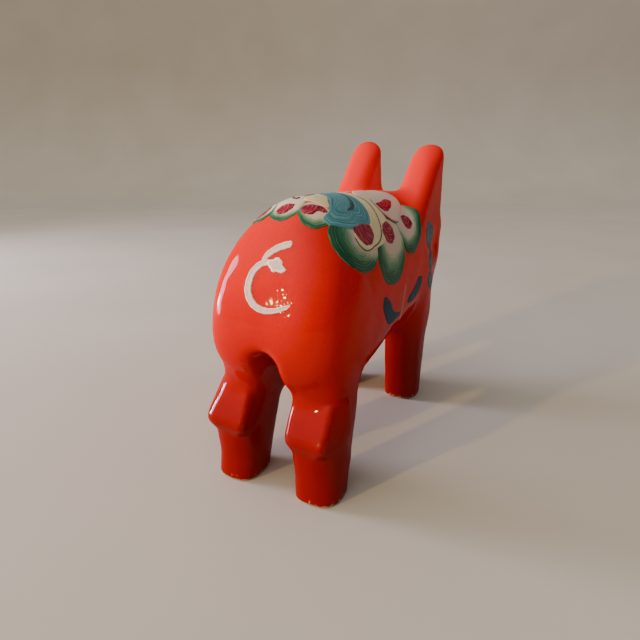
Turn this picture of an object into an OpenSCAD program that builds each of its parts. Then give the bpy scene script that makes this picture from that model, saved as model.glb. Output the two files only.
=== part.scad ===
// Carved and painted wooden pig, standing on its four soles.
// Millimetres, +Z up. The pig faces -Y, its tail is at +Y and its left side is at +X.
// The wood is one carved block. A red lacquer coat covers it down to just above the soles,
// and the painted ornament lies on the lacquer as thin films of paint.

/* [Body] */
// Half width of the barrel
body_half_w = 22; // [20:0.5:24]
// Height of the back above the floor
back_z = 83.5; // [80:0.5:86]
// Height of the belly above the floor
belly_z = 29.5; // [27:0.5:32]
// Lengthwise place of the middle of the rump
rump_y = 38; // [36:0.5:40]
// Lengthwise place of the middle of the shoulders
shoulder_y = -14; // [-18:0.5:-10]

/* [Head] */
// Radius of the flat snout disc
snout_r = 10; // [8:0.5:11]
// Lengthwise place of the snout disc
snout_y = -63.4; // [-66:0.1:-60]
// Height of the middle of the snout disc
snout_z = 50; // [46:0.5:54]
// Slope of the snout disc, in degrees
snout_tilt = 8; // [0:1:14]

/* [Ears] */
// Height of the ear tips above the floor
ear_top_z = 100; // [96:0.5:102]
// Half width of the notch between the ears, at its foot
ear_gap = 4.6; // [3.5:0.1:6]

/* [Legs] */
// Half of the distance between the left and right leg
track_half = 13.6; // [13:0.1:14.5]
// Lengthwise place of the hind soles
hind_y = 55; // [53:0.5:56]
// Lengthwise place of the front soles
front_y = -20.5; // [-23:0.5:-18]
// Radius of a sole
sole_r = 7.3; // [6.5:0.1:7.6]
// Height of the hock, the point of the bend in the hind leg
hock_z = 19.5; // [18:0.5:21]
// Height of the ledge above the hock
ledge_z = 29.5; // [28:0.5:31]

/* [Paint] */
// Thickness of the red lacquer coat
lacquer = 0.3; // [0.2:0.05:0.4]
// Thickness of a painted stroke
film = 0.2; // [0.15:0.05:0.3]
// Height of the bare rim that the lacquer leaves above each sole
bare_rim = 0.8; // [0.5:0.1:1.5]

/* [Hidden] */
egg_fn = 32;     // facets round a rounded form
knife_fn = 10;   // flats round a knife-cut leg
reach = 60;      // length of a prism that cuts a stroke out of the paint film
body_top_r = (back_z - belly_z) / 2;
body_mid_z = (back_z + belly_z) / 2;
ear_top_r = 2.8;
crotch_w = 9.2;      // width of the saw cut between the hind legs
crotch_top = 51;
chest_w = 10;        // width of the cut between the front legs
chest_top = 33;

// ---------------------------------------------------------------- carved form

module egg(c, r, g) {
    translate(c) scale([r[0] + g, r[1] + g, r[2] + g]) sphere(1, $fn = egg_fn);
}

module mirrored_pair() {
    for (side = [-1, 1]) scale([side, 1, 1]) children();
}

// Barrel: rump, shoulders and belly under one skin
module torso(g) {
    hull() {
        egg([0, rump_y, body_mid_z], [body_half_w, 25.5, body_top_r], g);
        egg([0, rump_y, body_mid_z - 6], [body_half_w - 0.5, 26, 19], g);
        egg([0, shoulder_y, body_mid_z + 0.5], [body_half_w, 23, body_top_r - 0.5], g);
    }
}

// Head: broad cheeks that taper to a flat snout disc
module head(g) {
    hull() {
        for (side = [-1, 1]) egg([side * 5, -36, 60.5], [15.8, 16, 21], g);
        translate([0, snout_y, snout_z]) rotate([90 - snout_tilt, 0, 0])
            translate([0, 0, -2]) cylinder(h = 2 + g, r = snout_r + g, $fn = egg_fn);
    }
}

// Ear on the left side: upright block, rear face sloping forward
module ear(g) {
    hull() {
        for (p = [[ear_gap + 3, -21.5, 72], [13.5, -21.5, 72], [ear_gap + 3, -41, 70], [17, -38, 66],
                  [16.8, -34, 80], [16.8, -40.5, 80]])
            translate(p) sphere(3 + g, $fn = 16);
        for (p = [[10.4, -38.8], [15.6, -38.8], [10.4, -42.5], [15.6, -42.5]])
            translate([p[0], p[1], ear_top_z - ear_top_r]) sphere(ear_top_r + g, $fn = 16);
    }
}

// Knife-cut slice of a leg: flats round it, at height z. The end slices of a hull also
// move outward with g, down where end is -1 and up where it is 1.
module slice(x, y, z, rx, ry, g, end = 0) {
    translate([x, y, z + end * g]) scale([rx + g, ry + g, 1])
        rotate(18) cylinder(h = 0.01, r = 1, $fn = knife_fn);
}

// Hind leg on the left side: foot, hock with its ledge, and haunch
module hind_leg(g) {
    hull() {
        slice(track_half, hind_y, 0, sole_r, sole_r, g, -1);
        slice(track_half - 0.8, hind_y - 4, ledge_z, 8.2, 8.6, g, 1);
    }
    hull() {
        slice(track_half, hind_y - 0.2, hock_z - 6.5, sole_r, sole_r, g, -1);
        slice(track_half + 0.2, hind_y + 0.2, hock_z - 1, 9.0, 9.6, g);
        slice(track_half + 0.2, hind_y + 0.2, hock_z + 0.5, 9.0, 9.6, g);
        slice(track_half - 0.8, hind_y - 4, ledge_z, 8.4, 8.8, g, 1);
    }
    hull() {
        slice(track_half - 0.8, hind_y - 4, ledge_z - 4, 8.2, 8.6, g, -1);
        egg([track_half - 2.4, hind_y - 11, 45], [10.8, 15.5, 17], g);
    }
}

// Front leg on the left side: one straight taper
module front_leg(g) {
    hull() {
        slice(track_half, front_y, 0, sole_r - 0.4, sole_r, g, -1);
        slice(track_half - 0.4, front_y - 0.5, 30, 8.2, 9.2, g);
        egg([track_half - 2.8, front_y - 1, 48], [10, 13, 10], g);
    }
}

// Outline of an arched cut, thin, at y, with its crown at the height top
module gap_outline(w, top, y, g) {
    half = w / 2 - g;
    translate([0, y, 0]) rotate([90, 0, 0]) linear_extrude(0.01) union() {
        translate([-half, -1]) square([2 * half, top - half - g + 1]);
        translate([0, top - half - g]) circle(half, $fn = egg_fn);
    }
}

// Arched cut between a pair of legs: its crown sinks from the height top, at the open end,
// to the belly at the inner end
module leg_gap(w, top, y_open, y_in, g) {
    hull() {
        gap_outline(w, top, y_open, g);
        gap_outline(w, belly_z - 1, y_in, g);
    }
}

// The whole carved form, grown outward by g
module form(g) {
    difference() {
        union() {
            torso(g);
            head(g);
            mirrored_pair() {
                ear(g);
                hind_leg(g);
                front_leg(g);
            }
        }
        leg_gap(crotch_w, crotch_top, hind_y + 20, hind_y - 24, g);
        leg_gap(chest_w, chest_top, front_y - 18, front_y + 16, g);
        translate([-50, -100, -20]) cube([100, 200, 20]);
    }
}

module pine_body() {
    color("burlywood") form(0);
}

module red_lacquer() {
    color([0.85, 0.10, 0.04]) difference() {
        form(lacquer);
        form(0);
        translate([-50, -100, -1]) cube([100, 200, 1 + bare_rim]);
    }
}

// ---------------------------------------------------------------- painted ornament

// A film of paint of the colour c, wherever the child prisms meet the surface. Layer 0 lies on
// the lacquer, layer 1 on other paint.
module painted(c, layer = 0) {
    inner = lacquer + layer * film;
    color(c) intersection() {
        difference() {
            form(inner + film);
            form(inner);
        }
        union() children();
    }
}

// Outline drawn in plan, on the back: x and y are the pig's own
module on_back() {
    translate([0, 0, body_mid_z]) linear_extrude(reach) children();
}

// Outline drawn on the side that the sign names (-1 right, 1 left), looking square at it.
// Its x runs toward the tail and its y is the height above the floor.
module on_side(side) {
    rotate([90, 0, 90]) mirror([0, 0, side < 0 ? 1 : 0]) linear_extrude(reach) children();
}

// Outline drawn on the rump, looking square at it: x and the height above the floor
module on_rump() {
    translate([0, rump_y, 0]) rotate([90, 0, 0]) mirror([0, 0, 1]) linear_extrude(reach) children();
}

// Outline drawn on the face of the head, looking square at it
module on_face() {
    translate([0, -50, 0]) rotate([90, 0, 0]) linear_extrude(reach) children();
}

// Petal: a drop from its root p to its round tip q, of the tip radius r
module drop(p, q, r) {
    hull() {
        translate(p) circle(r * 0.35, $fn = 16);
        translate(q) circle(r, $fn = 24);
    }
}

// Brush line through points, of the width w
module brush(points, w) {
    for (i = [0 : len(points) - 2]) hull() {
        translate(points[i]) circle(w / 2, $fn = 12);
        translate(points[i + 1]) circle(w / 2, $fn = 12);
    }
}

// Arc of points about c, from angle a0 to a1
function arc(c, r, a0, a1, n = 10) =
    [for (i = [0 : n]) let (a = a0 + (a1 - a0) * i / n) [c[0] + r * cos(a), c[1] + r * sin(a)]];

petal_green = [0.20, 0.42, 0.32];
heart_red = [0.55, 0.10, 0.14];
swirl_centre = [0, 26];
swirl_r = [9.5, 12.8];

// The tail: a curled brush stroke, low on the rump, with a short stroke leading into it
module tail_curl() {
    curl = arc([-4.2, 62.8], 6.3, 65, -95);
    painted("ghostwhite") on_rump() {
        brush([[-6.4, 73.2], [-2.9, 71.2], [-1.1, 69.2]], 1.7);
        brush([[-1.3, 68.6], [-5.8, 68.2]], 3);
        brush(concat(curl, [[-7.2, 57], [-10.2, 58.4]]), 2.2);
    }
}

// Rosette on the back: two mirrored rows of petals with one at each end
module petal_rear() {
    painted(petal_green) on_back() drop([0, 44], [0, 50], 3.7);
}
module petal_rear_side(side) {
    painted(petal_green) on_back() scale([side, 1]) drop([4.4, 42.4], [8.2, 48], 3.7);
}
module petal_hip(side) {
    painted(petal_green) on_side(side) drop([36, 78], [42, 69.5], 6.6);
}
module petal_flank(side) {
    painted(petal_green) on_side(side) drop([15, 77], [25, 65], 6);
}
module petal_shoulder(side) {
    painted(petal_green) on_side(side) drop([0, 77], [-3, 70], 6.2);
}
module petal_front() {
    painted(petal_green) on_back() drop([0, 4], [0, -5], 5);
}

// Dark red hearts of the petals
module petal_hearts() {
    painted(heart_red, 1) {
        on_back() drop([0, 46], [0, 49], 1.8);
        on_back() drop([0, 1], [0, -3], 2.4);
        for (side = [-1, 1]) {
            on_back() scale([side, 1]) drop([6.2, 45], [7.4, 46.8], 2);
            on_side(side) drop([37.5, 75], [40, 72], 2.8);
            on_side(side) drop([18, 73.4], [20.5, 70.4], 2.3);
            on_side(side) drop([-1, 75], [-2, 72.4], 2.4);
        }
    }
}

// Middle of the rosette
module centre_swirl() {
    painted("cadetblue") on_back() difference() {
        translate(swirl_centre) scale(swirl_r) circle(1, $fn = 32);
        drop([0, 30], [0, 40], 4.6);
    }
}
module cream_fan() {
    painted("khaki") on_back() drop([0, 31.5], [0, 38.4], 3);
}
module navy_comma() {
    painted("midnightblue", 1) on_back() brush([[-5.4, 21.6], [-7.4, 25], [-7.6, 29.6], [-5.6, 33.4]], 1.3);
}
module ring_line() {
    ring = [for (a = [-60 : 15 : 45]) swirl_centre + [(swirl_r[0] + 2) * cos(a), (swirl_r[1] + 2) * sin(a)]];
    painted("darkslategray") on_back() for (side = [-1, 1]) scale([side, 1]) brush(ring, 0.7);
}

// Loose strokes on the shoulder
module shoulder_strokes(side) {
    painted("midnightblue") on_side(side) {
        brush([[16, 50.5], [11.5, 44.8], [8.5, 48.2]], 2);
        brush([[-8, 53.5], [-3, 45.5]], 1.2);
    }
}

// Row of leaves from the neck down
module collar(side) {
    painted("steelblue") on_side(side)
        for (i = [0 : 2]) brush([[-24, 70 - 8.4 * i], [-23.2, 64.6 - 8.4 * i]], 1.5);
}

module eyes() {
    painted("white") for (side = [-1, 1]) on_side(side) translate([-50, 64]) circle(2.6, $fn = 24);
}

module pupils() {
    painted("black", 1) for (side = [-1, 1]) on_side(side) translate([-50.4, 63.8]) circle(1.3, $fn = 20);
}

module nostrils() {
    painted("black") on_face() for (side = [-1, 1]) translate([side * 3.4, snout_z + 0.6]) circle(1.5, $fn = 20);
}

module mouth_line() {
    painted("ghostwhite") on_face() brush(arc([0, snout_z + 2], 7.4, 215, 325, 8), 0.9);
}

pine_body();
red_lacquer();
tail_curl();
petal_rear();
petal_rear_side(-1);  // petal_rear_right
petal_hip(-1);  // petal_hip_right
petal_flank(-1);  // petal_flank_right
petal_shoulder(-1);  // petal_shoulder_right
petal_front();
petal_shoulder(1);  // petal_shoulder_left
petal_flank(1);  // petal_flank_left
petal_hip(1);  // petal_hip_left
petal_rear_side(1);  // petal_rear_left
petal_hearts();
centre_swirl();
cream_fan();
navy_comma();
ring_line();
shoulder_strokes(-1);  // shoulder_strokes_right
shoulder_strokes(1);  // shoulder_strokes_left
collar(-1);  // collar_right
collar(1);  // collar_left
eyes();
pupils();
nostrils();
mouth_line();
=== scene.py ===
"""Carved and painted wooden pig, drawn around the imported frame.

Lengths are millimetres in the pig's own frame until a mesh is made: +Z is up, the snout points to -Y,
the tail to +Y and the pig's left side is +X. Angles are degrees.
"""

import bpy
import numpy as np
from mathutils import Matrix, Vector


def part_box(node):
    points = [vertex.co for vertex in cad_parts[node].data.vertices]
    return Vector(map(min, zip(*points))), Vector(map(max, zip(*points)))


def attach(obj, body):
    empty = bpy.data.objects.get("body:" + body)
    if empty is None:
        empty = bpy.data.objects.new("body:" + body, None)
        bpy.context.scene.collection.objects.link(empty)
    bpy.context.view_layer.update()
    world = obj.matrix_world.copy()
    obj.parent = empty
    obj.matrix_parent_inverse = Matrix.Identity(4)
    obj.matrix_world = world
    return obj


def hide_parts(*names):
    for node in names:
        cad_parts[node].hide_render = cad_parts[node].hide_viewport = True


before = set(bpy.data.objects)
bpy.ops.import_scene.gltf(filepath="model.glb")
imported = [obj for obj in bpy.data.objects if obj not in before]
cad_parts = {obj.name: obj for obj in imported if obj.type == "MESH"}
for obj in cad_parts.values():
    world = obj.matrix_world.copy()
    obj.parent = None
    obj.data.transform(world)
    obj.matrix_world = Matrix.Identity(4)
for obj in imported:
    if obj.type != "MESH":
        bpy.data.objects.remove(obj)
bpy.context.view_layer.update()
MM = 0.001


def box_mm(node):
    low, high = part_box(node)
    return np.array(low) / MM, np.array(high) / MM


# ---------------------------------------------------------------- driving sizes, from the frame

coat_low, coat_high = box_mm("red_lacquer")
HALF_WIDTH = coat_high[0] - 0.5
RUMP_END = coat_high[1] + 0.6
SNOUT_END = coat_low[1] + 2.4
EAR_TOP = coat_high[2] + 1.6        # before the tips are rounded off
BACK = coat_high[2] - 16.1
BARE_RIM = coat_low[2]              # the lacquer stops this far above the floor
COAT = box_mm("pine_body")[0][1] - coat_low[1]
TRACK = 13.6                        # from the middle plane to a leg's axis
HIND_Y = RUMP_END - 10.8
FRONT_Y = -20.0
WOOD_PITCH, COAT_PITCH = 1.0, 0.65  # grids of the two meshes
GRID_LOW, GRID_HIGH = (-27.0, -70.0), (27.0, 71.0)      # how far they reach across and along

# Torso at the rump and at the shoulders: place, length of the rounded end, plan exponent,
# half width, top, middle and bottom
RUMP = (RUMP_END - 27.2, 27.2, 4.0, HALF_WIDTH, BACK, 47.3, 28.4)
SHOULDERS = (-16.8, 24, 2.2, HALF_WIDTH, BACK - 0.3, 51.1, 30.7)
SECTION = (1.8, 2.1)                # exponents of the torso's profile and cross section
# Haunch: where it starts and is full, its profile and cross exponents, how much it hangs down
HAUNCH = (15.7, 42.9, 2.1, 2.24, 4.1)

# Hind leg from sole to haunch: height, place across and along from the sole, half widths
THIGH = [
    (0, 0, 0.9, 7.3, 7.6), (14, -0.6, -1.4, 8.0, 8.4), (28, -1.1, -4.3, 8.6, 9.2),
    (40, -1.6, -6.5, 7.6, 9.3),
]
# Front leg, the same way
SHANK = [
    (0, 0, 0, 6.8, 7.2), (24, 0, -0.2, 7.6, 9.1), (40, 0, -1.6, 8.2, 11.2), (52, -1.4, -1.2, 6.6, 11.6),
]
LEDGE_Z, HOCK_Z, HOCK_FOOT_Z = 29.8, 19.8, 10.0
# Flats round the left hind leg: direction they face, how far out they lie at the ledge, hock and foot,
# and how much further out the right leg's are at the ledge and hock
HOCK_FLATS = [
    (5, 4.4, 10.1, 5.6, 0, 0), (42, 5.4, 11.7, 7.2, 2.4, 2.6), (-64, 7.2, 10.2, 5.2, -0.6, -0.9),
    (90, 7.8, 9.2, 7.0, 1.2, 2.2), (-90, 8.6, 8.8, 5.4, 0, 0),
]
# Arched cut between the hind legs: its crown, half widths at foot and crown, where it ends
ARCH_Z, ARCH_FOOT_HALF, ARCH_HALF, ARCH_END = 40.5, 6.2, 4.0, HIND_Y - 20

CHEEKS = ((0, -37.3, 60), (18.6, 15.6, 21, 21))
SNOUT = ((0, -40, 58), (0, SNOUT_END, 51), 17, 10.4)
# Flats of an ear: a point on the flat and the way it faces
EAR_FLATS = [
    ((19.6, 0, 84), (1, 0, 0)), ((6.6, 0, 84), (-1, 0, 0.05)), ((0, -20.3, 84), (0, 1, 0.95)),
    ((0, -45, 84), (0, -1, 0.03)), ((0, 0, 66), (0, 0, -1)),
]
EAR_TIP = ((0, -38, EAR_TOP), (0, 0.25, 1))
LEFT_EAR_MORE, RIGHT_EAR_MORE = 1.7, -0.7   # how much further out each ear's tip lies

# Chart of the back: it is wrapped round an axis this high with this radius, and cast in from further out
WRAP_Z, WRAP_RADIUS, WRAP_FROM = 50.0, 28.0, 45.0
# Pale line down the right flank, a painted highlight where a glint runs, and the patch of dried specks
# beside the tip of the tail
PAINTED_GLINT = [(-22, 9.6, 54.1), (-22.1, 11.2, 51.2), (-22.1, 12, 48.3), (-22, 12.4, 45.6), (-20.8, 11.4, 42)]
SPECKS = (-6.6, 63.7, 58.6)
SPECKS_FULL, SPECKS_GONE = 3.0, 7.2     # millimetres from the patch's centre

CAMERA = (-69.1, 163.5, 91.7)
VIEW = (0.439, -0.847, -0.301)      # the way the camera looks


# ---------------------------------------------------------------- the carved form, as a distance

def soft_min(a, b, k):
    """Smaller of two distances, blended where they are closer than k"""
    h = np.maximum(k - np.abs(a - b), 0) / k
    return np.minimum(a, b) - h * h * k * 0.25


def soft_max(a, b, k):
    return -soft_min(-a, -b, k)


def ease(v, low, high):
    """0 up to low, 1 from high, smooth between them"""
    s = np.clip((v - low) / (high - low), 0, 1)
    return s * s * (3 - 2 * s)


def flat(p, point, normal):
    """Distance past a plane"""
    n = np.array(normal, float)
    n /= np.linalg.norm(n)
    return (p - np.float32(point)) @ n.astype("f4")


def cone(p, a, b, radius_a, radius_b, edge):
    """Round bar from a to b, with softened ends"""
    a, b = np.float32(a), np.float32(b)
    axis = b - a
    length = np.linalg.norm(axis)
    axis /= length
    t = (p - a) @ axis
    r = np.linalg.norm(p - a - t[:, None] * axis, axis=1)
    side = r - (radius_a + (radius_b - radius_a) * np.clip(t / length, 0, 1))
    return soft_max(side, np.abs(t - length / 2) - length / 2, edge)


def egg(p, centre, radii, along, across):
    """Superellipsoid with the radii (x, y, up, down)"""
    q = p - np.float32(centre)
    rz = np.where(q[:, 2] > 0, np.float32(radii[2]), np.float32(radii[3]))
    q = np.abs(q) / np.stack([np.full_like(rz, radii[0]), np.full_like(rz, radii[1]), rz], 1) + 1e-5
    a = q[:, 0] ** across + q[:, 2] ** across
    n = (a ** (along / across) + q[:, 1] ** along) ** (1 / along)
    rise = n ** (1 - along) * a ** (along / across - 1)
    gx = rise * q[:, 0] ** (across - 1) / radii[0]
    gz = rise * q[:, 2] ** (across - 1) / rz
    gy = n ** (1 - along) * q[:, 1] ** (along - 1) / radii[1]
    return (n - 1) / np.sqrt(gx * gx + gy * gy + gz * gz + 1e-12)


def torso(p):
    """Distance to one skin from rump to shoulders"""
    rump_y, rump_length, rump_plan = RUMP[:3]
    shoulder_y, shoulder_length, shoulder_plan = SHOULDERS[:3]
    profile, section = SECTION
    haunch_start, haunch_full, haunch_profile, haunch_section, haunch_drop = HAUNCH
    t = ease(p[:, 1], shoulder_y, rump_y)
    hx, top, mid, low = [f + (r - f) * t for f, r in zip(SHOULDERS[3:], RUMP[3:])]
    dz = p[:, 2] - mid
    below = dz < 0
    full = ease(p[:, 1], haunch_start, haunch_full) * below
    hz = np.where(below, mid - low, top - mid) + haunch_drop * full
    behind = p[:, 1] > rump_y
    ry = np.where(behind, np.float32(rump_length), np.float32(shoulder_length))
    dy = np.maximum(p[:, 1] - rump_y, 0) + np.maximum(shoulder_y - p[:, 1], 0)
    qx, qy, qz = np.abs(p[:, 0]) / hx + 1e-4, dy / ry + 1e-4, np.abs(dz) / hz + 1e-4
    e = profile + (haunch_profile - profile) * full
    r = (qy ** e + qz ** e) ** (1 / e)
    level = qy ** 2 / (qy ** 2 + qz ** 2)
    cross = section + (haunch_section - section) * full
    f = cross + (np.where(behind, rump_plan, shoulder_plan) - cross) * level
    n = (r ** f + qx ** f) ** (1 / f)
    gx = (qx / n) ** (f - 1) / hx
    gr = (r / n) ** (f - 1)
    gy = gr * (qy / r) ** (e - 1) / ry
    gz = gr * (qz / r) ** (e - 1) / hz
    return (n - 1) / np.sqrt(gx * gx + gy * gy + gz * gz + 1e-12)


def spline(keys, t):
    """Smooth curve through the values of keys at the parameters in their first column"""
    keys = np.array(keys, float)
    k, v = keys[:, 0], keys[:, 1:]
    slope = np.gradient(v, k, axis=0)
    t = np.clip(t, k[0], k[-1])
    i = np.clip(np.searchsorted(k, t) - 1, 0, len(k) - 2)
    h = (k[i + 1] - k[i])[:, None]
    s = (t - k[i])[:, None] / h
    start = (2 * s**3 - 3 * s**2 + 1) * v[i] + (s**3 - 2 * s**2 + s) * h * slope[i]
    end = (3 * s**2 - 2 * s**3) * v[i + 1] + (s**3 - s**2) * h * slope[i + 1]
    return (start + end).astype("f4")


def leg(p, keys, y, exponent):
    """Upright leg whose section is a superellipse. It runs on below the floor."""
    c = spline([(z, TRACK + dx, y + dy, hx, hy) for z, dx, dy, hx, hy in keys], p[:, 2])
    qx = np.abs(p[:, 0] - c[:, 0]) / c[:, 2] + 1e-5
    qy = np.abs(p[:, 1] - c[:, 1]) / c[:, 3] + 1e-5
    n = (qx ** exponent + qy ** exponent) ** (1 / exponent)
    g = n ** (1 - exponent) * np.hypot(qx ** (exponent - 1) / c[:, 2], qy ** (exponent - 1) / c[:, 3])
    return soft_max((n - 1) / (g + 1e-6), p[:, 2] - keys[-1][0], 1.0)


def hock(p, side):
    """Knife-cut flats that swell out to the hock, the same way round on both hind legs"""
    q = p - np.stack([side * TRACK, np.full_like(side, HIND_Y), np.zeros_like(side)], 1)
    d = soft_max(np.maximum(q[:, 2] - LEDGE_Z - 1, HOCK_FOOT_Z - q[:, 2]), -q[:, 1] - 2, 1.0)
    right = (side < 0).astype("f4")
    lower = 1 - ease(q[:, 2], 13, 19)       # the flats are rounded away under the hock
    z, rise, drop = q[:, 2] - HOCK_Z, LEDGE_Z - HOCK_Z, HOCK_Z - HOCK_FOOT_Z
    for turn, ledge, corner, foot, ledge_more, corner_more in HOCK_FLATS:
        ledge, corner = ledge + ledge_more * right, corner + corner_more * right
        r = q[:, 0] * np.sin(np.radians(turn)) + q[:, 1] * np.cos(np.radians(turn)) - corner
        above = (r * rise + z * (corner - ledge)) / np.hypot(rise, corner - ledge)
        below = (r * drop + z * (foot - corner)) / np.hypot(drop, foot - corner)
        d = soft_max(d, soft_max(above, below, 1.6), 1.2 + 3 * lower)
    return d


def knife_marks(p):
    """Shallow unevenness that the knife leaves under the lacquer"""
    broad = np.sin(p @ np.float32((0.31, 0.17, 0.23)) + 1) * np.sin(p @ np.float32((-0.12, 0.29, 0.19)))
    small = np.sin(p @ np.float32((0.53, -0.41, 0.37)) + 2) * np.sin(p @ np.float32((0.25, 0.61, -0.47)))
    return 0.07 * broad + 0.03 * small


def arch(p):
    """Distance into the cut between the hind legs, which is open to the rear and the belly"""
    half = ARCH_FOOT_HALF + (ARCH_HALF - ARCH_FOOT_HALF) * np.clip(p[:, 2] / ARCH_Z, 0, 1)
    crown = np.hypot(p[:, 0], p[:, 2] - ARCH_Z) - ARCH_HALF
    return soft_max(np.where(p[:, 2] > ARCH_Z, crown, p[:, 0] - half), ARCH_END - p[:, 1], 2)


def carved(p):
    """Distance to the lacquered surface, with the legs running on below the floor"""
    p = p.astype("f4")
    side = np.where(p[:, 0] < 0, -1, 1).astype("f4")
    m = p * np.stack([side, np.ones_like(side), np.ones_like(side)], 1)
    # The hock's flats melt into the leg below it and stay crisp above
    melt = 1.0 + 3.5 * (1 - ease(p[:, 2], 11, 19))
    hind = soft_min(leg(m, THIGH, HIND_Y, 2.5), hock(p, side), melt)
    d = soft_min(torso(m), hind, 4.2)
    d = soft_max(d, -arch(m), 3.4)
    d = soft_min(d, leg(m, SHANK, FRONT_Y, 2.6), 6)
    head = soft_min(egg(m, *CHEEKS, 2.2, 2.3), cone(m, *SNOUT, 2.0), 10)
    d = soft_min(d, head, 8)
    ear = flat(m, *EAR_TIP) - np.where(side > 0, np.float32(LEFT_EAR_MORE), np.float32(RIGHT_EAR_MORE))
    for point, normal in EAR_FLATS:
        ear = soft_max(ear, flat(m, point, normal), 6)
    return soft_min(d, ear, 5) + knife_marks(p)


def slope(distance, p, step=0.12):
    """Distance and its gradient, from four samples round each point"""
    corners = np.float32([(1, -1, -1), (-1, -1, 1), (-1, 1, -1), (1, 1, 1)])
    values = [distance(p + step * c) for c in corners]
    g = sum(v[:, None] * c for v, c in zip(values, corners)) / (4 * step)
    return sum(values) / 4, g


def onto(distance, p, rounds=4):
    """Points moved onto the surface"""
    for _ in range(rounds):
        d, g = slope(distance, p)
        p = p - np.clip(d, -1, 1)[:, None] * g / np.maximum((g * g).sum(1), 0.25)[:, None]
    return p


def facing(p):
    """The way the lacquer faces at points on it"""
    g = slope(carved, p)[1]
    return g / np.linalg.norm(g, axis=1)[:, None]


def surface_mesh(distance, low, high, pitch):
    """Quads over the zero set of a distance: one point in each cell of a grid that it crosses"""
    block = 4
    blocks = np.ceil((np.array(high) - low) / (block * pitch)).astype(int)
    near = np.stack(np.meshgrid(*[(np.arange(n) + 0.5) * block * pitch for n in blocks], indexing="ij"), -1)
    rough = distance((near.reshape(-1, 3) + low).astype("f4")).reshape(blocks)
    value = rough.repeat(block, 0).repeat(block, 1).repeat(block, 2)
    band = np.argwhere(np.abs(value) < 1.5 * block * pitch)
    value[tuple(band.T)] = distance((band * pitch + low).astype("f4"))
    solid = value < 0
    cells = np.array(solid.shape) - 1
    offsets = np.array([(i, j, k) for i in (0, 1) for j in (0, 1) for k in (0, 1)])

    def at(grid, shift, index=None):
        if index is None:
            return grid[tuple(slice(s, s + n) for s, n in zip(shift, cells))]
        return grid[tuple((index + shift).T)]

    inside = sum(at(solid, o).astype(int) for o in offsets)
    active = np.argwhere((inside > 0) & (inside < 8))
    total, crossings = np.zeros((len(active), 3)), np.zeros(len(active))
    for a in offsets:
        for axis in np.flatnonzero(a == 0):
            b = a.copy()
            b[axis] = 1
            va, vb = at(value, a, active), at(value, b, active)
            cut = (va < 0) != (vb < 0)
            t = np.where(cut, va / np.where(cut, va - vb, 1), 0)
            total += cut[:, None] * (a + t[:, None] * (b - a))
            crossings += cut
    points = (active + total / crossings[:, None]) * pitch + low
    number = np.full(cells, -1)
    number[tuple(active.T)] = np.arange(len(active))
    quads = []
    for axis in range(3):
        u, v = np.eye(3, dtype=int)[(axis + 1) % 3], np.eye(3, dtype=int)[(axis + 2) % 3]
        ahead = np.eye(3, dtype=int)[axis]
        here = np.argwhere(at(solid, (0, 0, 0)) != at(solid, ahead))
        here = here[(here @ u > 0) & (here @ v > 0)]
        ring = [number[tuple((here - s).T)] for s in (u + v, v, 0 * u, u)]
        quad = np.stack(ring, 1)
        leaving = solid[tuple(here.T)]
        quads.append(np.where(leaving[:, None], quad, quad[:, ::-1]))
    return points, np.concatenate(quads)


# ---------------------------------------------------------------- meshes and paint films

def make_object(name, points, faces, values=None, node=None, material=None):
    """Mesh object in metres, with named numbers on its points. It stands for its CAD node."""
    mesh = bpy.data.meshes.new(name)
    mesh.from_pydata((np.asarray(points) * MM).tolist(), [], [list(f) for f in faces])
    mesh.shade_smooth()
    for key, value in (values or {}).items():
        mesh.attributes.new(key, "FLOAT", "POINT").data.foreach_set("value", np.asarray(value, "f4"))
    thing = bpy.data.objects.new(name, mesh)
    bpy.context.scene.collection.objects.link(thing)
    if material:
        mesh.materials.append(material)
    if node:
        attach(thing, "root")
        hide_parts(node)
    return thing


def back_rays(u, y):
    """From above: u is millimetres round the back from its ridge toward the right side"""
    turn = u / WRAP_RADIUS
    out = np.stack([-np.sin(turn), 0 * turn, np.cos(turn)], 1)
    return np.stack([0 * u, y, 0 * u + WRAP_Z], 1) + WRAP_FROM * out, -out


def rump_rays(x, z):
    """From behind"""
    return np.stack([x, 0 * x + RUMP_END + 15, z], 1), np.tile((0.0, -1, 0), (len(x), 1))


def right_rays(y, z):
    """From the right side"""
    return np.stack([0 * y - 45, y, z], 1), np.tile((1.0, 0, 0), (len(y), 1))


def face_rays(x, z):
    """From in front"""
    return np.stack([x, 0 * x + SNOUT_END - 10, z], 1), np.tile((0.0, 1, 0), (len(x), 1))


def land(rays, flat_points):
    """Points of a chart, laid on the lacquer"""
    p, way = rays(flat_points[:, 0], flat_points[:, 1])
    for _ in range(40):
        p = p + np.clip(carved(p), -3, 6)[:, None] * 0.9 * way
    return p


def smooth_line(points, count, closed=False):
    """Evenly numbered points on a smooth curve through the given ones"""
    points = np.array(points, float)
    if closed:
        points = np.concatenate([points[-3:], points, points[:3]])
    steps = np.r_[0, np.cumsum(np.linalg.norm(np.diff(points[:, :2], axis=0), axis=1) ** 0.7)]
    low, high = (steps[3], steps[-3]) if closed else (steps[0], steps[-1])
    t = np.linspace(low, high, count, endpoint=not closed)
    return spline(np.c_[steps, points], t).astype(float)


def wobble(t, seed, size):
    """Small hand-made unevenness along a curve"""
    waves = np.sin(2.3 * t + seed) + 0.6 * np.sin(5.1 * t + 2 * seed) + 0.4 * np.sin(11 * t + 3 * seed)
    return size * waves


def outward(points, faces):
    """Faces of one closed shape, turned so that its volume is positive"""
    fan = np.array([(f[0], f[i], f[i + 1]) for f in faces for i in range(1, len(f) - 1)])
    a, b, c = points[fan[:, 0]], points[fan[:, 1]], points[fan[:, 2]]
    volume = (a * np.cross(b, c)).sum()
    return faces if volume > 0 else [f[::-1] for f in faces]


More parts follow.
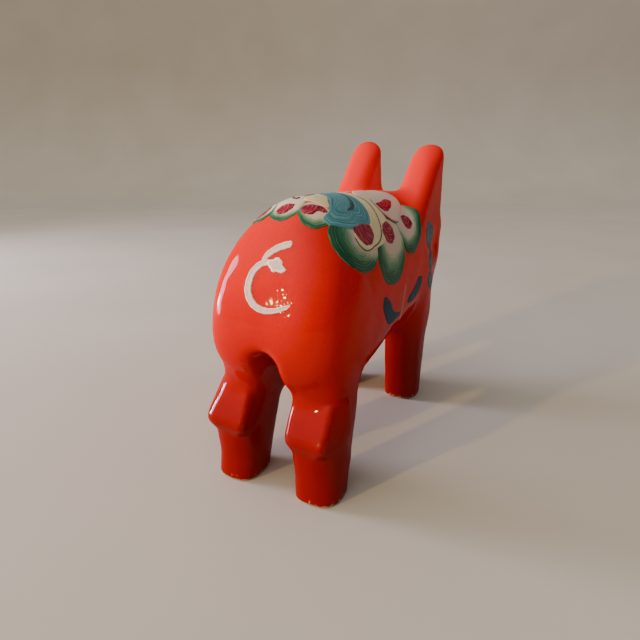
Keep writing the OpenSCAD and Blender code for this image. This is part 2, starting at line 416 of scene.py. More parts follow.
class Film:
    """Thin closed shapes of paint that are joined in one object"""

    SUNK = 0.09     # how far a film's underside lies inside the lacquer
    KEYS = ("ring", "along", "lie", "across", "depth")

    def __init__(self):
        self.points, self.faces, self.values, self.count = [], [], [], 0

    def add(self, points, faces, values, mirrored):
        if mirrored:
            points = points * (-1, 1, 1)
        faces = outward(points, faces)
        self.points.append(points)
        self.faces += [[self.count + i for i in f] for f in faces]
        self.values.append(np.stack(values, 1))
        self.count += len(points)

    def patch(self, rays, rim, centre, lift, tip=(1, 0), rings=16, around=104, rough=0.1, mirrored=False):
        """Area inside a closed rim, with its rings drawn toward centre. tip is the way its tip lies."""
        edge = smooth_line(rim, around, closed=True)
        away = edge - centre
        reach = np.linalg.norm(away, axis=1)
        turn = np.arange(around) * 2 * np.pi / around
        edge = centre + away * (1 + wobble(turn * 3, lift * 90, rough) / reach)[:, None]
        s = 1 - (1 - np.arange(1, rings + 1) / rings) ** 1.2
        flat_points = (centre + s[:, None, None] * (edge - centre)).reshape(-1, 2)
        flat_points = np.concatenate([[centre], flat_points])
        ring = np.r_[0, s.repeat(around)]
        depth = (1 - ring) * np.r_[reach.mean(), np.tile(reach, rings)]
        # The paint swells up from the rim, with a fine ridge where the brush left it
        height = lift * np.clip(depth / 0.45, 0, 1) ** 0.5 + 0.025 * np.exp(-((depth - 0.5) / 0.22) ** 2)
        height[ring >= 1] = -self.SUNK
        length = np.r_[0, np.cumsum(np.linalg.norm(np.diff(edge, axis=0), axis=1))]
        tip = np.array(tip, float) / np.linalg.norm(tip)
        lie = (flat_points - centre) @ tip
        across = (flat_points - centre) @ np.array((-tip[1], tip[0]))
        surface = land(rays, flat_points)
        normal = facing(surface)
        n, inner = len(surface), len(surface) - around
        underside = surface[:inner] - normal[:inner] * self.SUNK
        points = np.concatenate([surface + normal * height[:, None], underside])
        under = np.r_[np.arange(inner) + n, np.arange(inner, n)]
        faces = []
        for i in range(around):
            j = (i + 1) % around
            faces += [[0, 1 + i, 1 + j], [under[0], under[1 + j], under[1 + i]]]
            for a in range(1, 1 + (rings - 1) * around, around):
                b = a + around
                faces.append([a + i, b + i, b + j, a + j])
                faces.append([under[a + j], under[b + j], under[b + i], under[a + i]])
        values = (ring, np.r_[0, np.tile(length, rings)], lie, across, depth)
        self.add(points, faces, [np.r_[v, v[:inner]] for v in values], mirrored)

    def stroke(self, rays, line, lift, mirrored=False, steps=80, rough=0.03, ridge=0.5):
        """Brush stroke along a line of (place, place, width), with a ridge of paint near each edge"""
        path = smooth_line(line, steps)
        length = np.r_[0, np.cumsum(np.linalg.norm(np.diff(path[:, :2], axis=0), axis=1))]
        half = path[:, 2] / 2 * (1 + wobble(length * 1.3, lift * 70, rough * 3))
        ahead = np.gradient(path[:, :2], axis=0)
        ahead /= np.linalg.norm(ahead, axis=1)[:, None]
        # Both ends are round: the last stretch, as long as the half width there, closes as an arc
        from_end = np.minimum(length / half[0], (length[-1] - length) / half[-1])
        closing = np.sqrt(1 - (1 - np.clip(from_end, 0, 1)) ** 2)
        t = np.linspace(-1, 1, 11)
        inside = slice(1, -1)
        width = (half * closing)[inside]
        sideways = np.stack([-ahead[:, 1], ahead[:, 0]], 1)[inside]
        flat_points = path[inside, None, :2] + t[None, :, None] * (width[:, None] * sideways)[:, None]
        rows, sections = flat_points.shape[:2]
        n = rows * sections
        surface = land(rays, np.concatenate([flat_points.reshape(-1, 2), path[[0, -1], :2]]))
        normal = facing(surface)
        shape = (1 - t ** 8) * (1 + ridge * np.exp(-((np.abs(t) - 0.72) / 0.16) ** 2))
        height = lift * shape[None, :] * (0.35 + 0.65 * closing[inside, None])
        height[:, [0, -1]] = -self.SUNK
        keep = np.tile(np.abs(t) < 1, rows)
        under = np.arange(n)
        under[keep] = n + np.arange(keep.sum())
        points = np.concatenate([
            surface[:n] + normal[:n] * height.reshape(-1, 1), (surface[:n] - normal[:n] * self.SUNK)[keep],
            surface[n:] - normal[n:] * self.SUNK * 0.5])
        first, last, end = len(points) - 2, len(points) - 1, n - sections
        faces = []
        for k in range(sections - 1):
            for a in range(k, end, sections):
                b = a + sections
                faces += [[a, a + 1, b + 1, b], [under[b], under[b + 1], under[a + 1], under[a]]]
            faces += [[first, k + 1, k], [first, under[k], under[k + 1]]]
            faces += [[last, end + k, end + k + 1], [last, under[end + k + 1], under[end + k]]]
        along = length[inside].repeat(sections)
        across = (t[None, :] * width[:, None]).reshape(-1)
        ring = np.tile(np.abs(t), rows)
        depth = width.repeat(sections) * (1 - ring)
        ends = ((0, 0), (0, length[-1]), (0, length[-1]), (0, 0), (0, 0))
        values = (ring, along, along, across, depth)
        self.add(points, faces, [np.r_[v, v[keep], e] for v, e in zip(values, ends)], mirrored)

    def make(self, name, slot, material):
        values = dict(zip(self.KEYS, np.concatenate(self.values).T))
        return make_object(name, np.concatenate(self.points), self.faces, values, name, material)


# ---------------------------------------------------------------- materials

class Look:
    """A Principled material, with short ways to add nodes to it"""

    def __init__(self, name, roughness, coat=0.0, coat_roughness=0.04):
        self.material = bpy.data.materials.new(name)
        self.material.use_nodes = True
        self.tree = self.material.node_tree
        self.shader = self.tree.nodes["Principled BSDF"]
        self.shader.inputs["Roughness"].default_value = roughness
        self.shader.inputs["Specular IOR Level"].default_value = 0.0
        self.shader.inputs["Coat Weight"].default_value = coat
        self.shader.inputs["Coat Roughness"].default_value = coat_roughness

    def put(self, socket, value):
        """Links a socket to another one, or sets it to a number or colour"""
        if isinstance(value, bpy.types.NodeSocket):
            self.tree.links.new(value, socket)
        elif value is not None:
            socket.default_value = value

    def node(self, kind, *values, **settings):
        n = self.tree.nodes.new("ShaderNode" + kind)
        for key, value in settings.items():
            setattr(n, key, value)
        for socket, value in zip(n.inputs, values):
            self.put(socket, value)
        return n

    def value(self, name):
        """One of the named numbers on the mesh's points"""
        return self.node("Attribute", attribute_name=name).outputs["Fac"]

    def place(self):
        return self.node("TexCoord").outputs["Object"]

    def math(self, operation, a, b=None, c=None):
        return self.node("Math", a, b, c, operation=operation).outputs[0]

    def vector(self, x=0.0, y=0.0, z=0.0):
        return self.node("CombineXYZ", x, y, z).outputs[0]

    def stretched(self, source, x, y, z):
        return self.node("VectorMath", source, (x, y, z), operation="MULTIPLY").outputs[0]

    def noise(self, source, scale, detail=2.0, roughness=0.5):
        n = self.node("TexNoise", source)
        n.inputs["Scale"].default_value = scale
        n.inputs["Detail"].default_value = detail
        n.inputs["Roughness"].default_value = roughness
        return n.outputs[0]

    def between(self, value, low, high, to_low=0.0, to_high=1.0):
        n = self.node("MapRange", value, low, high, to_low, to_high, interpolation_type="SMOOTHSTEP")
        return n.outputs[0]

    def ramp(self, factor, *stops):
        """Colour along a number, from (number, colour) stops"""
        n = self.node("ValToRGB", factor)
        marks = n.color_ramp.elements
        while len(marks) < len(stops):
            marks.new(0.5)
        for mark, (at, colour) in zip(marks, stops):
            mark.position = at
            mark.color = (*linear(colour), 1)
        return n.outputs[0]

    def mix(self, factor, a, b):
        n = self.node("Mix", data_type="RGBA")
        sockets = [s for s in n.inputs if s.enabled]
        for socket, value in zip(sockets, (factor, a, b)):
            self.put(socket, (*linear(value), 1) if isinstance(value, tuple) else value)
        return [s for s in n.outputs if s.enabled][0]

    def bump(self, height, distance, strength=1.0, below=None):
        n = self.node("Bump")
        self.put(n.inputs["Strength"], strength)
        n.inputs["Distance"].default_value = distance * MM
        self.put(n.inputs["Height"], height)
        self.put(n.inputs["Normal"], below)
        return n.outputs[0]

    def finish(self, colour, normal=None, roughness=None):
        self.put(self.shader.inputs["Base Color"], colour)
        self.put(self.shader.inputs["Normal"], normal)
        self.put(self.shader.inputs["Roughness"], roughness)
        return self.material


def linear(colour):
    """Colour given as 0-255 screen values, in linear light"""
    c = np.array(colour) / 255
    return tuple(np.where(c <= 0.04045, c / 12.92, ((c + 0.055) / 1.055) ** 2.4).tolist())


def lacquer_look():
    """Red brush lacquer: gloss over carved wood, paler on sharp edges where it wears thin and where a
    highlight is painted, with painted shade that deepens the red toward the feet and painted light that
    brightens it toward the back and ears
    """
    look = Look("red_lacquer", 0.28, coat=0.3, coat_roughness=0.05)
    place = look.place()
    pooled = look.noise(place, 55, 3)
    streaks = look.noise(look.stretched(place, 1600, 140, 1600), 1, 3, 0.6)
    colour = look.ramp(pooled, (0.25, (206, 8, 2)), (0.5, (218, 14, 4)), (0.8, (226, 20, 7)))
    colour = look.mix(look.between(streaks, 0.35, 0.75, 0, 0.25), colour, (190, 6, 2))
    # Paler on sharp edges: lacquer worn thin there, and a painted highlight along them
    edge = look.value("edge")
    grit = look.noise(place, 900, 3)
    thin = look.math("MULTIPLY", look.between(edge, 0.10, 0.45), look.between(grit, 0.40, 0.62))
    colour = look.mix(look.math("MULTIPLY", thin, 0.45), colour, (228, 84, 52))
    height = look.value("height")
    scuffed = look.math("MULTIPLY", look.between(height, 2.2, 0.9), look.between(grit, 0.56, 0.66))
    # Painted shade: the red darkens toward the feet
    colour = look.mix(look.between(height, 64, 14, 0, 0.92), colour, (120, 1, 1))
    # Painted light: the red brightens toward the top of the back and the ears
    colour = look.mix(look.between(height, 72, 88, 0, 0.6), colour, (240, 36, 32))
    colour = look.mix(scuffed, colour, (206, 160, 104))
    # Painted highlight: a pale line down the right flank
    painted_glint = look.between(look.value("painted_glint"), 0.62, 0.2)
    colour = look.mix(look.math("MULTIPLY", painted_glint, 0.7), colour, (216, 150, 136))
    peel = look.bump(look.noise(place, 420, 2), 0.05, 0.35)
    brushed = look.bump(streaks, 0.02, 0.35, peel)
    flow = look.bump(look.noise(look.stretched(place, 260, 120, 260), 1, 2), 0.03, 0.5)
    # The dried specks show in the paint and in the gloss over it
    centre = tuple(MM * c for c in SPECKS)
    away = look.node("VectorMath", place, centre, operation="DISTANCE").outputs["Value"]
    near = look.between(away, SPECKS_GONE * MM, SPECKS_FULL * MM)
    dried = look.noise(place, 860, 1, 0.6)
    specks = look.bump(dried, 0.14, near, brushed)
    look.put(look.shader.inputs["Coat Normal"], look.bump(dried, 0.14, near, flow))
    roughness = look.between(look.noise(place, 130, 4), 0.3, 0.8, 0.2, 0.36)
    return look.finish(colour, specks, roughness)


def pine_look():
    """Bare end grain of pine at the soles"""
    look = Look("bare_pine", 0.6)
    place = look.place()
    wave = look.node("TexWave", place, None, 90, 3.0, 2.0, wave_type="RINGS", rings_direction="Y")
    pores = look.noise(place, 2600, 4, 0.7)
    rings = wave.outputs["Fac"]
    colour = look.ramp(rings, (0.1, (222, 184, 130)), (0.75, (205, 158, 100)), (1.0, (158, 106, 58)))
    colour = look.mix(look.between(pores, 0.45, 0.75, 0, 0.5), colour, (146, 100, 58))
    return look.finish(colour, look.bump(pores, 0.08, 0.6))


def streaks_of(look, fine, long, seed):
    """Bristle marks: they run with the rings of a patch, or along a stroke"""
    across = look.math("MULTIPLY", look.value("depth"), fine)
    along = look.math("MULTIPLY", look.value("along"), long)
    return look.noise(look.vector(across, along, seed), 1, 3, 0.65)


def petal_look(name, pull_low, pull_high, heart, seed):
    """Green rim that pales through brushed layers to a pinkish white.

    The green is deepest on the side of the tip: a higher pull makes more of it, from pull_low on the
    far side to pull_high at the tip.
    """
    look = Look(name, 0.3, coat=0.3)
    ring, depth = look.value("ring"), look.value("depth")
    streaks = streaks_of(look, 5.0, 0.16, seed)
    broad = streaks_of(look, 1.3, 0.12, seed + 4)
    tone = look.math("ADD", ring, look.between(look.value("lie"), -6, 7, pull_low, pull_high))
    tone = look.math("MULTIPLY_ADD", look.math("SUBTRACT", streaks, 0.5), 0.34, tone)
    tone = look.math("MULTIPLY_ADD", look.math("SUBTRACT", broad, 0.5), 0.35, tone)
    colour = look.ramp(
        tone, (0.34, heart), (0.58, (202, 188, 168)), (0.70, (148, 164, 136)),
        (0.80, (98, 140, 108)), (0.91, (60, 112, 82)), (1.0, (34, 84, 60)))
    layers = look.math("SINE", look.math("MULTIPLY_ADD", depth, 6.0, look.math("MULTIPLY", broad, 9.0)))
    pale = look.math("MULTIPLY", look.between(layers, 0.6, 1.0), look.between(broad, 0.42, 0.62))
    pale = look.math("MULTIPLY", pale, look.between(depth, 0.15, 0.5))
    colour = look.mix(look.math("MULTIPLY", pale, 0.3), colour, (160, 198, 176))
    return look.finish(colour, look.bump(streaks, 0.03, 0.4))


def heart_look():
    """Crimson dabs pulled by a stiff brush, so that thin pale lines are left across them"""
    look = Look("petal_heart", 0.3, coat=0.3)
    lie, across = look.value("lie"), look.value("across")
    bent = look.math("MULTIPLY_ADD", look.math("MULTIPLY", across, across), 0.12, lie)
    spread = look.vector(look.math("MULTIPLY", bent, 1.2), look.math("MULTIPLY", across, 0.3), 3.0)
    patchy = look.noise(spread, 1.0, 3)
    wave = look.math("SINE", look.math("MULTIPLY_ADD", patchy, 7.0, look.math("MULTIPLY", bent, 6.8)))
    lines = look.math("MULTIPLY", look.between(wave, 0.55, 1.0), look.between(patchy, 0.36, 0.56))
    colour = look.ramp(patchy, (0.36, (112, 10, 38)), (0.5, (146, 24, 54)), (0.64, (172, 56, 78)))
    colour = look.mix(look.math("MULTIPLY", lines, 0.5), colour, (214, 132, 136))
    edge = look.between(look.value("depth"), 0.5, 0.0)
    colour = look.mix(look.math("MULTIPLY", edge, 0.5), colour, (110, 14, 36))
    return look.finish(colour, look.bump(lines, 0.06, 0.7))


def banded_look(name, dark, middle, light, fine, long):
    """Brushed paint whose bristle marks go from a dark to a light tone"""
    look = Look(name, 0.3, coat=0.2)
    streaks = streaks_of(look, fine, long, 5.0)
    colour = look.ramp(streaks, (0.36, dark), (0.5, middle), (0.64, light))
    return look.finish(colour, look.bump(streaks, 0.05, 0.7))


def tail_look():
    """Off-white stroke, thin in its middle so that red shows through, thick at the edges"""
    look = Look("tail_white", 0.35, coat=0.3)
    thin = look.between(look.value("ring"), 0.55, 0.85, 1, 0)
    patchy = look.noise(look.place(), 1100, 4, 0.65)
    streaks = streaks_of(look, 6.0, 0.3, 2.0)
    thin = look.math("MULTIPLY", thin, look.between(patchy, 0.2, 0.8, 0.5, 1.1))
    colour = look.mix(thin, (255, 251, 248), (226, 192, 190))
    colour = look.mix(look.between(streaks, 0.55, 0.75, 0, 0.35), colour, (214, 188, 184))
    return look.finish(colour, look.bump(patchy, 0.2, 0.9))


def plain_look(name, colour, other):
    """Glossy paint in two close tones"""
    look = Look(name, 0.3, coat=0.7)
    patchy = look.noise(look.place(), 600, 3)
    mixed = look.ramp(patchy, (0.3, colour), (0.7, other))
    return look.finish(mixed, look.bump(patchy, 0.05, 0.6))


def floor_look():
    look = Look("floor", 0.75)
    cloudy = look.noise(look.place(), 9, 3)
    return look.finish(look.ramp(cloudy, (0.3, (184, 178, 168)), (0.7, (190, 184, 175))))


# ---------------------------------------------------------------- the wood and its lacquer

def mesh_of(distance, bottom, pitch):
    """Points and faces over a carved form, from a height below the soles up past the ears"""
    low, high = np.array((*GRID_LOW, bottom)), np.array((*GRID_HIGH, EAR_TOP + 2))
    points, faces = surface_mesh(distance, low, high, pitch)
    return onto(distance, points), faces


def make_wood():
    def block(p):
        return soft_max(carved(p) + COAT, -p[:, 2], 0.35)

    points, faces = mesh_of(block, -1.5, WOOD_PITCH)
    make_object("pine_block", points, faces, None, "pine_body", pine_look())


def away_from(line, points):
    """Distance from each point to a line through the given points"""
    nearest = np.full(len(points), 9.0)
    for a, b in zip(line, line[1:]):
        a, way = np.array(a), np.subtract(b, a)
        t = np.clip((points - a) @ way / (way @ way), 0, 1)
        nearest = np.minimum(nearest, np.linalg.norm(points - a - t[:, None] * way, axis=1))
    return nearest


def make_lacquer():
    points, faces = mesh_of(carved, -3.0, COAT_PITCH)
    # The coat ends in a slightly uneven rim just above the soles
    rim = BARE_RIM + wobble(points[:, 0] * 0.9 + points[:, 1] * 0.7, 1.0, 0.07)
    below = points[:, 2] < rim
    faces = faces[~below[faces].all(1)]
    points[below, 2] = rim[below]
    for _ in range(3):
        d, g = slope(carved, points[below])
        g[:, 2] = 0
        points[below] -= d[:, None] * g / (g * g).sum(1)[:, None]
    used, faces = np.unique(faces, return_inverse=True)
    points, faces = points[used], faces.reshape(-1, 4)
    near, far = slope(carved, points, 0.5)[0], slope(carved, points, 1.4)[0]
    values = {"edge": far - near, "height": points[:, 2], "painted_glint": away_from(PAINTED_GLINT, points)}
    coat = make_object("lacquer_coat", points, faces, values, "red_lacquer", lacquer_look())
    shell = coat.modifiers.new("thickness", "SOLIDIFY")
    shell.thickness = 0.98 * COAT * MM      # just short of the wood
    shell.offset = -1
    shell.use_even_offset = False


# ---------------------------------------------------------------- painted ornament

# Petals, in millimetres round the back and along it: rim, the point its rings are drawn to, and the
# way its tip lies
PETALS = {
    "petal_rear": (
        [(-5.4, 49.6), (-3.4, 51.4), (-1, 51.9), (1, 51.3), (2.4, 49.9), (3.2, 47.6), (2.4, 44),
         (0, 39), (-4, 38), (-6.4, 42), (-6.6, 46)], (-1.4, 46.6), (0, 1)),
    "petal_rear_right": (
        [(2.7, 49), (4.4, 50.9), (7.3, 52), (9.6, 51.5), (11.2, 48.7), (10.6, 44.6), (7.6, 41.8), (4, 42.6),
         (2.2, 45.6)], (5.8, 45.8), (0.1, 1)),
    "petal_hip_right": (
        [(11.2, 45.5), (11.7, 48.9), (14.2, 51.1), (17.3, 52.2), (21, 51.3), (24.2, 48.5), (26.6, 43.5),
         (27.3, 37.8), (26.2, 33), (23.4, 28.8), (19.6, 26.6), (15.2, 27.6), (12.4, 33), (11.2, 39.5)],
        (17.2, 33.6), (0.45, 0.9)),
    "petal_flank_right": (
        [(21, 28.6), (23.6, 30.1), (26.9, 30.7), (30.3, 29.9), (33.4, 27.7), (35.4, 23.9), (35.8, 18.8),
         (34.2, 13.6), (31.2, 9.8), (27.6, 7.2), (23, 5.6), (18, 5.4), (15, 9.5), (14.6, 17), (16.6, 24.4)],
        (18.8, 15.4), (0.85, 0.55)),
    "petal_shoulder_right": (
        [(23.6, 6), (26.5, 5.3), (28.1, 1.6), (28, -3), (26, -7.6), (22.8, -11), (19.4, -13.2),
         (15.8, -14.2), (12.8, -12.8), (10.8, -9), (11.2, -3), (13.6, 3), (18, 6.6)],
        (17, -3.6), (0.92, -0.4)),
    "petal_front": (
        [(3, 13), (0.4, 8), (0, -2), (2, -9), (6, -13), (10.4, -11), (13.8, -4), (15.6, 1), (15.9, 5.6),
         (14, 9.4), (10.6, 12), (6.6, 13.4)], (10, 3.4), (0.1, -1)),
    "petal_rear_left": (
        [(-12.9, 47.6), (-10.9, 49.8), (-8.8, 50.8), (-6.4, 50.3), (-4.8, 48.6), (-5.2, 44.6), (-7.6, 41.8),
         (-11.4, 42.4), (-13.2, 45)], (-8.6, 45.6), (-0.2, 1)),
}
MIRRORED = ("petal_hip", "petal_flank", "petal_shoulder")
# Hearts: rim, the point its rings are drawn to, the way its lines are stacked, and whether the left
# side has one too
HEARTS = [
    ([(-3.5, 49.2), (-3.6, 47.2), (-2.9, 46.1), (-1, 45.4), (0.4, 45.9), (0.6, 47.2), (0, 48.7),
      (-1.4, 49.8)], (-1.6, 47.6), (1, 0), False),
    ([(2.8, 47.8), (2.9, 45.9), (4, 44.6), (5.6, 43.5), (7.2, 43), (8.4, 43.6), (8.2, 45), (6.8, 45.8),
      (6.6, 47.6), (5.4, 48.8), (4, 48.8)], (5.2, 46), (1, 0), False),
    ([(14.6, 39.2), (13.9, 35), (14, 30), (15.2, 26.6), (17.3, 27), (19.4, 29.6), (20.2, 33.8),
      (19.4, 36.8), (17.4, 38.6)], (17, 33), (0.5, 0.86), True),
    ([(16.4, 19.2), (15.1, 15.8), (15.5, 12.2), (17.6, 11), (20, 11.8), (21.7, 14.6), (21.7, 18.4),
      (19.8, 20.4), (17.8, 20.4)], (18.4, 15.8), (0.9, 0.4), True),
    ([(15.3, -0.8), (14.6, -4.4), (15.6, -7.2), (18.1, -7.5), (19.9, -4.9), (19.3, -1.6), (17.3, -0.2)],
     (17.2, -3.8), (1, 0), True),
    ([(9.6, 11.4), (8.6, 5), (8, -1.6), (9, -4.4), (11, -0.4), (12.4, 5.6), (12.2, 9.2)],
     (10.2, 4.6), (1, 0), True),
    ([(-10.4, 48.6), (-11.2, 46.4), (-9.8, 44.2), (-7.6, 43.6), (-6.4, 45.4), (-6.8, 47.8), (-8.4, 49.2)],
     (-8.6, 46.4), (1, 0), False),
]


def paint_petals():
    green = petal_look("petal_green", -0.42, 0.2, (218, 200, 184), 0.0)
    grey = petal_look("petal_grey", -0.34, 0.2, (214, 186, 174), 2.0)
    white = petal_look("petal_white", -0.80, -0.42, (216, 194, 180), 3.0)
    looks = {"petal_flank": grey, "petal_shoulder": grey, "petal_front": white}
    for order, (name, (rim, centre, tip)) in enumerate(PETALS.items()):
        stem = name.removesuffix("_right")
        look = looks.get(stem, green)
        lift = 0.07 + 0.018 * order
        film = Film()
        film.patch(back_rays, rim, centre, lift, tip)
        if name == "petal_front":
            film.patch(back_rays, rim, centre, lift + 0.01, tip, mirrored=True)
        film.make(name, "green_paint", look)
        if stem in MIRRORED:
            left = Film()
            left.patch(back_rays, rim, centre, lift, tip, mirrored=True)
            left.make(stem + "_left", "green_paint", look)


def paint_hearts():
    film = Film()
    for rim, centre, stack, on_left in HEARTS:
        for mirrored in (False, True)[:1 + on_left]:
            film.patch(back_rays, rim, centre, 0.27, stack, rings=9, around=72, mirrored=mirrored)
    film.make("petal_hearts", "crimson_paint", heart_look())


def paint_swirl():
    rim = [(9.2, 47.5), (8.7, 43.8), (6.7, 39.9), (3.9, 35), (0, 32.6), (-5, 33.4), (-9.6, 31), (-11.5, 26),
           (-9, 21), (-3, 19), (4, 19.1), (9.8, 20.7), (12.9, 23), (14.9, 26.6), (15.2, 32), (14.8, 40),
           (13, 45.2), (11.2, 47.9)]
    teal = banded_look("centre_teal", (48, 108, 124), (74, 140, 152), (136, 184, 186), 4.6, 0.04)
    film = Film()
    film.patch(back_rays, rim, (7.6, 31), 0.22, (0, 1), rings=22, around=150)
    film.make("centre_swirl", "teal_paint", teal)


def paint_fan():
    """Cream paint round the front of the swirl, and a wedge of it behind"""
    ground = [(-1, 15), (3, 13.4), (7, 11.6), (12, 11.2), (15.6, 12), (18.2, 14.8), (20.2, 19), (21.4, 25),
              (21.9, 31), (21.6, 36), (20, 39.6), (17, 40.6), (13.6, 36), (8, 27), (2, 21)]
    wedge = [(0.2, 31.5), (0.6, 36.4), (1.6, 43.2), (4, 43.1), (6.9, 42.5), (7.8, 41.6), (6.7, 39.7),
             (3.9, 34.6), (2, 31.5)]
    strokes = [
        [(1, 17.6, 3.2), (6.4, 17, 3.4), (11.2, 18.9, 3.8), (15, 21.8, 4.2), (17.4, 25, 4.2),
         (18.4, 29.4, 2.6)],
        [(9.6, 12.6, 1.0), (12.6, 13.8, 2.2), (15.4, 15.6, 2.8), (18, 18.2, 1.0)],
    ]
    film = Film()
    film.patch(back_rays, wedge, (4, 40), 0.2, (0, 1), rings=10, around=72)
    for mirrored in (False, True):
        film.patch(back_rays, ground, (15, 24), 0.178, (0, 1), rings=12, around=110, mirrored=mirrored)
        for line in strokes:
            film.stroke(back_rays, line, 0.19, mirrored, ridge=0.1)
    cream = banded_look("fan_cream", (212, 188, 142), (226, 208, 160), (230, 220, 202), 2.4, 0.1)
    film.make("cream_fan", "cream_paint", cream)


def paint_lines():
    comma = [(2.9, 22.6, 0.3), (5.4, 24, 0.8), (7.7, 26.6, 1.3), (9.2, 30, 1.3), (9.6, 34.2, 0.3)]
    film = Film()
    film.stroke(back_rays, comma, 0.26)
    film.make("navy_comma", "navy_paint", plain_look("comma_navy", (8, 36, 56), (24, 62, 80)))

    round_fan = [
        (4.6, 16, 0.35), (7.3, 15.1, 0.5), (10.8, 16.4, 0.55), (13.6, 18, 0.6), (16.4, 20, 0.6),
        (18.8, 22.8, 0.6), (20.2, 26.2, 0.5), (20.8, 30.5, 0.45), (21.3, 34.6, 0.4), (20.8, 37.8, 0.4),
        (18.9, 40, 0.4), (16.6, 40.4, 0.3)]
    under_petal = [
        (7.2, 10.6, 0.3), (9.6, 12.4, 0.45), (12.4, 12, 0.5), (14.8, 10, 0.5), (16.2, 7.2, 0.5),
        (16.4, 3.2, 0.3)]
    rear_hook = [(-3, 39.6, 0.3), (-1.9, 42, 0.6), (-0.8, 42.6, 0.7), (-0.5, 41.4, 0.3)]
    film = Film()
    for mirrored in (False, True):
        for line in (round_fan, under_petal):
            film.stroke(back_rays, line, 0.28, mirrored, ridge=0)
    film.stroke(back_rays, rear_hook, 0.26)
    film.make("ring_line", "navy_paint", plain_look("line_green", (44, 62, 58), (74, 88, 78)))


def paint_tail():
    lead_in = [(-5.6, 73.1, 1.8), (-2.8, 72.3, 1.9), (-0.4, 71.0, 1.8), (1.0, 69.6, 1.6), (1.3, 68.2, 1.2)]
    curl = [(-1.4, 68.4, 1.4), (1.4, 68.0, 1.7), (3.5, 66.2, 2.0), (4.4, 63.6, 2.2), (4.2, 60.8, 2.2),
            (3.0, 58.7, 2.1), (1.0, 57.2, 1.9), (-1.9, 56.6, 1.7), (-4.8, 57, 1.4), (-7.5, 58, 1.1),
            (-9, 58.8, 0.5)]
    dab = [(0.4, 68.4), (-1, 69.1), (-2.9, 69.7), (-4, 69.1), (-4.6, 68.1), (-5.9, 66.8), (-5.4, 66.2),
           (-3.6, 66.2), (-1.9, 66.3), (-0.8, 67.2)]
    film = Film()
    film.stroke(rump_rays, lead_in, 0.2, rough=0.015, ridge=0.8)
    film.stroke(rump_rays, curl, 0.2, steps=130, rough=0.015, ridge=0.8)
    film.patch(rump_rays, dab, (-2.6, 67.8), 0.27, (1, 0), rings=9, around=72)
    film.make("tail_curl", "white_paint", tail_look())


def paint_flanks():
    navy = banded_look("stroke_blue", (8, 36, 58), (20, 58, 84), (44, 86, 108), 3, 0.3)
    slate = banded_look("collar_slate", (30, 58, 78), (64, 96, 112), (118, 142, 150), 3, 0.3)
    # Rims, place along and height, each with the point its rings are drawn to
    strokes = [
        ([(30, 54.4), (27.4, 54), (24.6, 51.6), (22.5, 49.1), (19.7, 47.2), (14.3, 45.7), (14.6, 44.6),
          (18.7, 44.7), (20.7, 44.2), (24.5, 44.4), (27.9, 46.3), (30.2, 49.2), (31.4, 52.6)], (26, 48.4)),
        ([(-5.9, 54.1), (-2.9, 52.7), (1.1, 50.6), (5.5, 49.2), (7.2, 47.7), (4.6, 46.6), (-1.9, 46.7),
          (-6.1, 48.2), (-8.8, 50.7), (-10, 53.1)], (-1.4, 49.7)),
    ]
    leaves = [
        ([(-22.6, 72.4), (-26.5, 70.9), (-29.3, 67.8), (-30.4, 64.3), (-27, 61.8), (-20.4, 62.2),
          (-18, 65.7), (-17.1, 69.2), (-19, 71.6)], (-23.6, 66.8)),
        ([(-26, 61.2), (-29.4, 59.4), (-29, 56.2), (-25.6, 54.3), (-20.1, 53.8), (-18.3, 56.2),
          (-20.8, 59.6)], (-24.2, 57.2)),
        ([(-22.8, 53.6), (-26, 50.8), (-26.2, 47.3), (-21.4, 46), (-17.2, 48.9), (-17.4, 52.1),
          (-19, 53.4)], (-21.6, 49.8)),
    ]
    groups = [("shoulder_strokes_", "navy_paint", navy, strokes), ("collar_", "slate_paint", slate, leaves)]
    for side, mirrored in (("right", False), ("left", True)):
        for name, slot, look, rims in groups:
            film = Film()
            for rim, centre in rims:
                film.patch(right_rays, rim, centre, 0.15, (1, 0.5), rings=12, mirrored=mirrored)
            film.make(name + side, slot, look)


def paint_face():
    eye, pupil, nostril, mouth_z = (-50, 64), (-50.4, 63.8), (-3.4, 51.6), 53
    turn = np.radians(np.arange(0, 360, 30))
    circle = np.stack([np.cos(turn), np.sin(turn)], 1)
    eyes, pupils, nostrils, mouth = Film(), Film(), Film(), Film()
    for mirrored in (False, True):
        eyes.patch(right_rays, circle * 2.6 + eye, eye, 0.16, rings=9, around=64, mirrored=mirrored)
        pupils.patch(
            right_rays, circle * 1.3 + pupil, pupil, 0.24, rings=7, around=48, rough=0.03,
            mirrored=mirrored)
        nostrils.patch(
            face_rays, circle * (1.4, 1.6) + nostril, nostril, 0.14, rings=7, around=48, rough=0.04,
            mirrored=mirrored)
    bend = np.radians(np.linspace(215, 325, 9))
    width = 0.5 + 0.5 * np.sin(np.linspace(0, np.pi, 9))
    smile = np.stack([7.4 * np.cos(bend), mouth_z + 7.4 * np.sin(bend), width], 1)
    mouth.stroke(face_rays, smile, 0.14)
    white = plain_look("eye_white", (236, 230, 220), (222, 212, 200))
    black = plain_look("pupil_black", (16, 14, 14), (30, 26, 26))
    eyes.make("eyes", "white_paint", white)
    pupils.make("pupils", "black_paint", black)
    nostrils.make("nostrils", "black_paint", black)
    mouth.make("mouth_line", "white_paint", white)


# ---------------------------------------------------------------- stage, light and camera

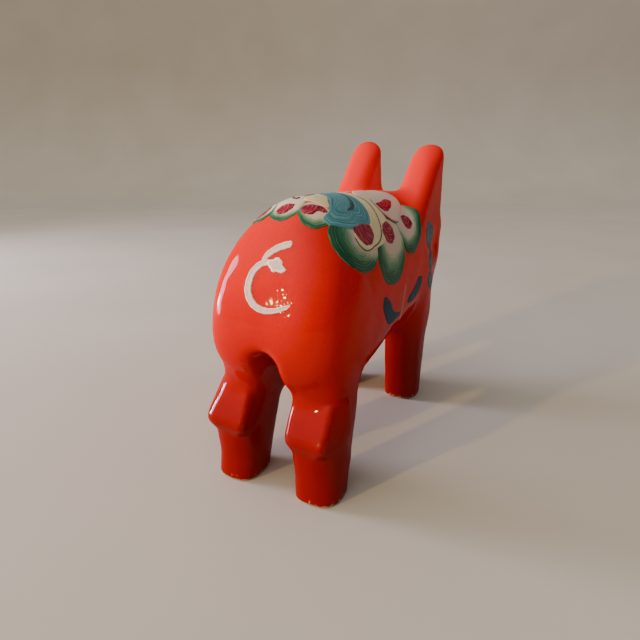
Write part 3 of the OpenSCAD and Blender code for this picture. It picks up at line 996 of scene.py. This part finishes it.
def make_stage():
    """Pale floor that curves up behind the pig into a backdrop, square to the camera"""
    half, bend, height, wide = 1500.0, 400.0, 1200.0, 2600.0
    quarter = np.linspace(0, np.pi / 2, 16)
    sweep = [(-half + bend - bend * np.sin(a), bend - bend * np.cos(a)) for a in quarter]
    profile = [(half, 0.0)] + sweep + [(-half, height)]
    ahead = np.array(VIEW[:2]) / np.hypot(*VIEW[:2])
    across = np.array((-ahead[1], ahead[0]))
    points = [(*(-y * ahead + x * across), z) for x in (wide, -wide) for y, z in profile]
    n = len(profile)
    faces = [(i, i + 1, n + i + 1, n + i) for i in range(n - 1)]
    floor = make_object("floor", points, faces, material=floor_look())


def toward(azimuth, elevation):
    """Unit direction: azimuth counts from +X toward +Y"""
    a, e = np.radians(azimuth), np.radians(elevation)
    return np.cos(a) * np.cos(e), np.sin(a) * np.cos(e), np.sin(e)


def area_light(name, azimuth, elevation, distance, width, height, power, colour, target=(0, 20, 50)):
    """Rectangular light, sizes in metres, that stands in a direction from the target and faces it"""
    way = Vector(toward(azimuth, elevation))
    data = bpy.data.lights.new(name, "AREA")
    data.shape, data.size, data.size_y = "RECTANGLE", width, height
    data.energy, data.color = power, colour
    lamp = bpy.data.objects.new(name, data)
    lamp.location = Vector(target) * MM + way * distance
    lamp.rotation_euler = (-way).to_track_quat("-Z", "Y").to_euler()
    bpy.context.scene.collection.objects.link(lamp)


DOME_BASE = 0.07
# Glows of the dome: azimuth, elevation, how narrow, how bright
DOME_GLOWS = [(50, 46, 3, 1.6), (50, 80, 3, 0.6)]


def make_dome():
    """World light that brightens toward a few directions"""
    world = bpy.data.worlds.new("studio")
    world.use_nodes = True
    tree = world.node_tree

    def node(kind, operation, *values):
        n = tree.nodes.new(kind)
        n.operation = operation
        for socket, value in zip(n.inputs, values):
            if isinstance(value, bpy.types.NodeSocket):
                tree.links.new(value, socket)
            else:
                socket.default_value = value
        return n

    background = tree.nodes["Background"]
    background.inputs["Color"].default_value = (1.0, 0.94, 0.87, 1)
    direction = tree.nodes.new("ShaderNodeTexCoord").outputs["Generated"]
    total = DOME_BASE
    for azimuth, elevation, narrow, bright in DOME_GLOWS:
        dot = node("ShaderNodeVectorMath", "DOT_PRODUCT", direction, toward(azimuth, elevation))
        glow = dot.outputs["Value"]
        for operation, amount in (("MAXIMUM", 0), ("POWER", narrow), ("MULTIPLY", bright), ("ADD", total)):
            glow = node("ShaderNodeMath", operation, glow, amount).outputs[0]
        total = glow
    tree.links.new(total, background.inputs["Strength"])
    bpy.context.scene.world = world


def make_lights():
    """Soft window and its sill on the left, and a small warm lamp that the dried specks glitter in"""
    area_light("window", 14, 12, 0.7, 0.18, 0.40, 6, (0.9, 0.8, 1.0))
    area_light("sill", 9, 1, 0.7, 0.06, 0.09, 2.4, (0.9, 0.85, 1.0))
    area_light("lamp", 63, 15, 1.2, 0.04, 0.028, 9.0, (1.0, 0.68, 0.2), target=SPECKS)


def make_camera():
    data = bpy.data.cameras.new("camera")
    data.lens, data.sensor_width, data.clip_start = 27.06, 36.0, 0.01
    camera = bpy.data.objects.new("camera", data)
    camera.location = Vector(CAMERA) * MM
    camera.rotation_euler = Vector(VIEW).to_track_quat("-Z", "Y").to_euler()
    bpy.context.scene.collection.objects.link(camera)
    bpy.context.scene.camera = camera


make_camera()
make_dome()
make_lights()
make_stage()
make_wood()
make_lacquer()
paint_petals()
paint_hearts()
paint_swirl()
paint_fan()
paint_lines()
paint_tail()
paint_flanks()
paint_face()
